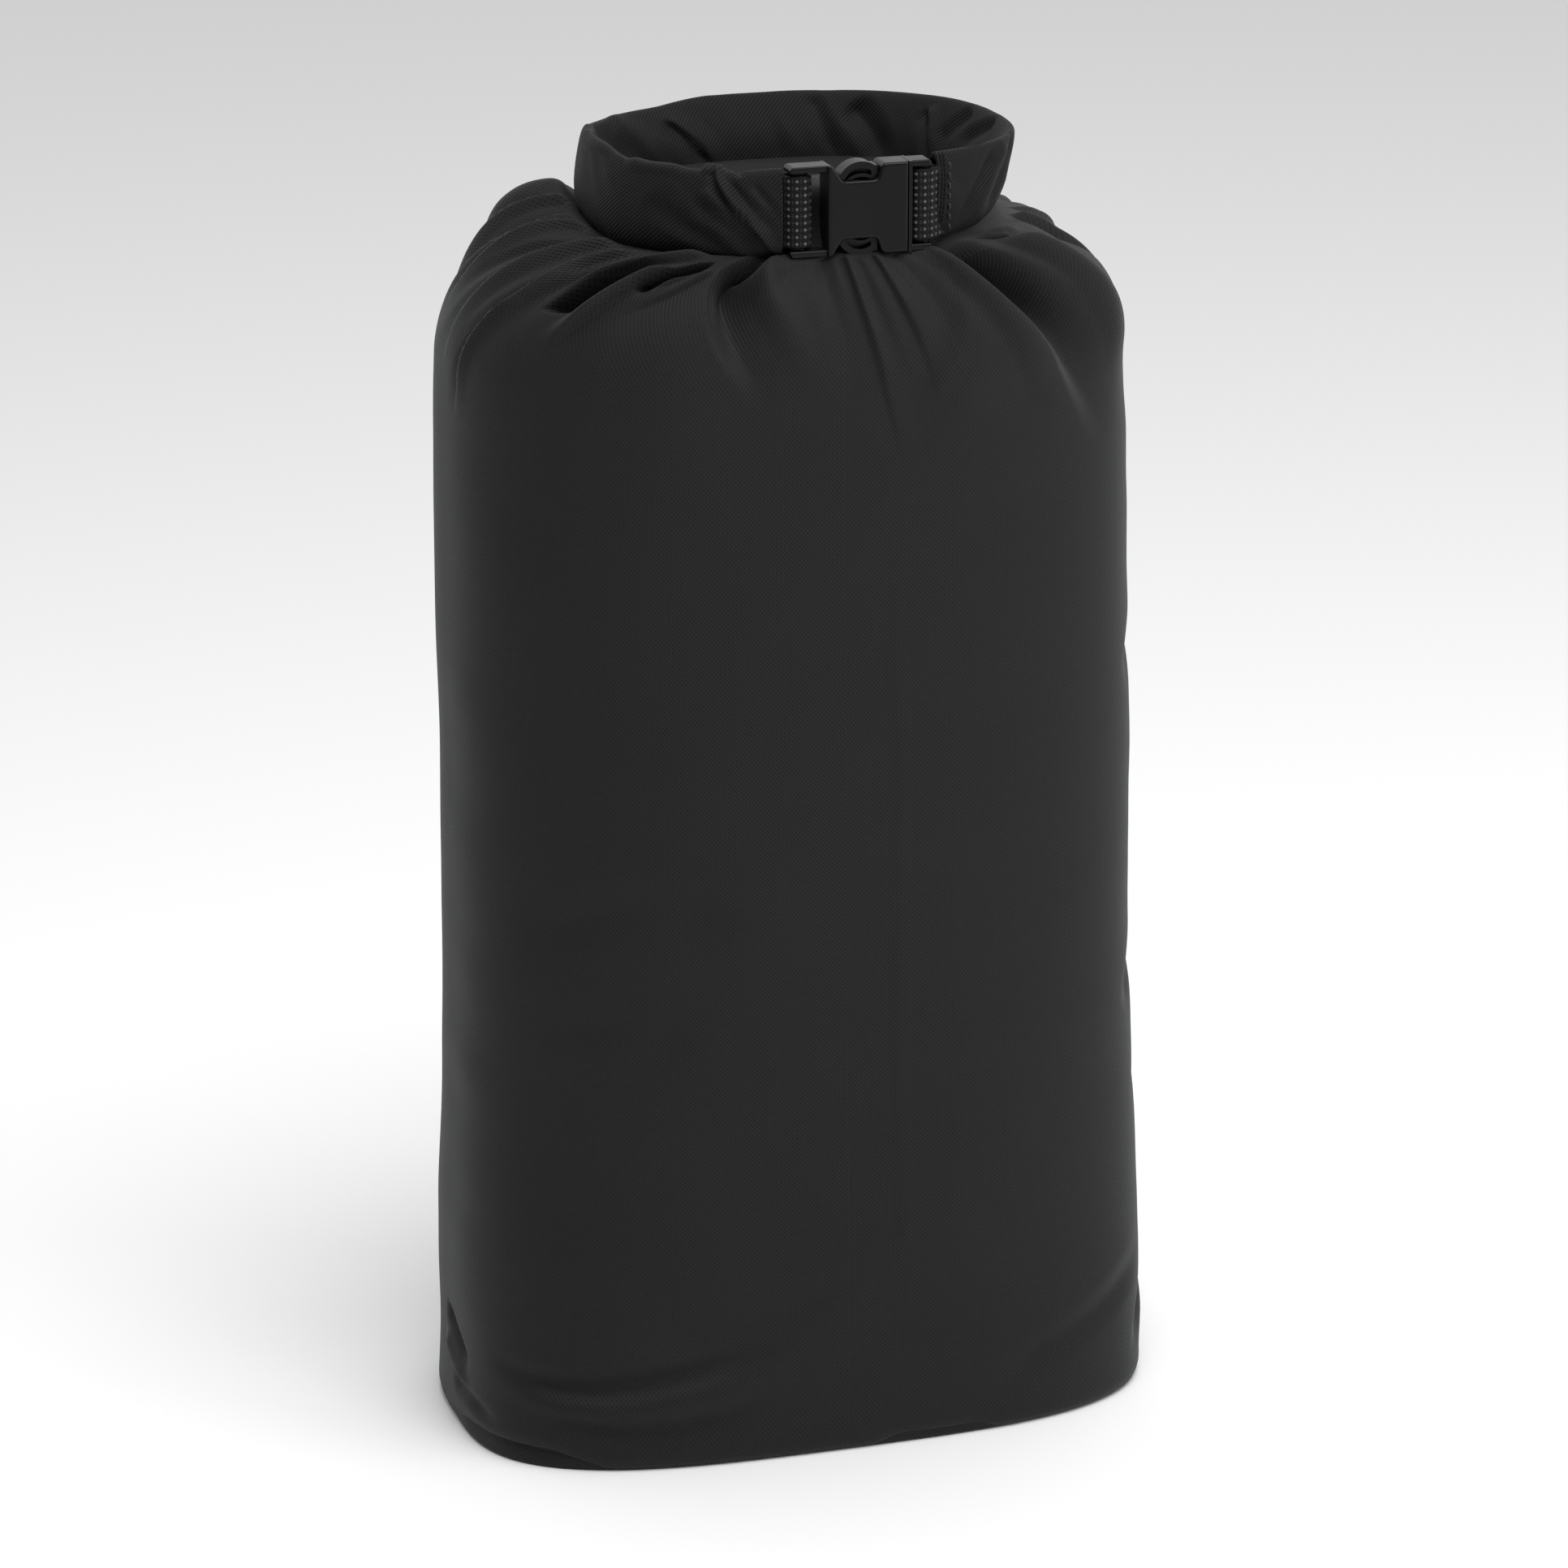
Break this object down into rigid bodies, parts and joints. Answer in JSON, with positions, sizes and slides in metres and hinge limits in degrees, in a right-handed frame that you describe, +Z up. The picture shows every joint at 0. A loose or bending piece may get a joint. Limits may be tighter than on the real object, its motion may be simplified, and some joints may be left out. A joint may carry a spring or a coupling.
{
  "type": "roll-top compression sack",
  "caption": "Stuffed roll-top fabric sack whose rolled mouth bends round into a ring and closes with a side-release buckle.",
  "frame": {"origin": "centre of the base panel, on the floor", "axes": "+Z up along the sack, -Y to the front where the buckle is, +X to the right of someone facing the front"},
  "size_m": [0.1981, 0.11, 0.358],
  "materials": {
    "bag_fabric": "thin black twill-weave polyester with a soft sheen",
    "seam_tape": "black woven binding tape",
    "thread": "black polyester sewing thread",
    "webbing": "black webbing with rows of small grey reflective diamonds",
    "buckle_plastic": "black moulded acetal, fine satin texture",
    "stiffener_plastic": "thin dark plastic strip, hidden inside the roll"
  },
  "bodies": {
    "sack": {"base_panel": "bag_fabric", "base_seam_binding": "seam_tape", "base_seam_thread": "thread", "body_panel": "bag_fabric", "body_seam_tape": "seam_tape", "gathered_neck": "bag_fabric"},
    "collar": {"roll_back": "bag_fabric", "stiffener_back": "stiffener_plastic"},
    "left_tab": {"roll_left": "bag_fabric", "stiffener_left": "stiffener_plastic", "webbing_left": "webbing", "hem_stitches_left": "thread", "buckle_female": "buckle_plastic"},
    "right_tab": {"roll_right": "bag_fabric", "stiffener_right": "stiffener_plastic", "webbing_right": "webbing", "hem_stitches_right": "thread", "buckle_male": "buckle_plastic"},
    "arm_upper": {"spring_arm_upper": "buckle_plastic"},
    "arm_lower": {"spring_arm_lower": "buckle_plastic"}
  },
  "joints": [
    {"name": "collar_lower", "type": "slide", "parent": "sack", "child": "collar", "axis": [0, 0, -1], "range_m": [0, 0.04], "deforming": ["gathered_neck"]},
    {"name": "right_tab_pull", "type": "slide", "parent": "collar", "child": "right_tab", "axis": [1, 0, 0], "range_m": [0, 0.012], "deforming": ["spring_arm_upper", "spring_arm_lower"]},
    {"name": "left_tab_pull", "type": "slide", "parent": "collar", "child": "left_tab", "axis": [-1, 0, 0], "range_m": [0, 0.012]},
    {"name": "upper_arm_squeeze", "type": "hinge", "parent": "right_tab", "child": "arm_upper", "pos_m": [0.0168, -0.0423, 0.3529], "axis": [0, -1, 0], "range_deg": [0, 11]},
    {"name": "lower_arm_squeeze", "type": "hinge", "parent": "right_tab", "child": "arm_lower", "pos_m": [0.0168, -0.0423, 0.3377], "axis": [0, 1, 0], "range_deg": [0, 11]}
  ],
  "couplings": [
    {"joint": "left_tab_pull", "follows": "right_tab_pull", "ratio": 1},
    {"joint": "lower_arm_squeeze", "follows": "upper_arm_squeeze", "ratio": 1}
  ]
}
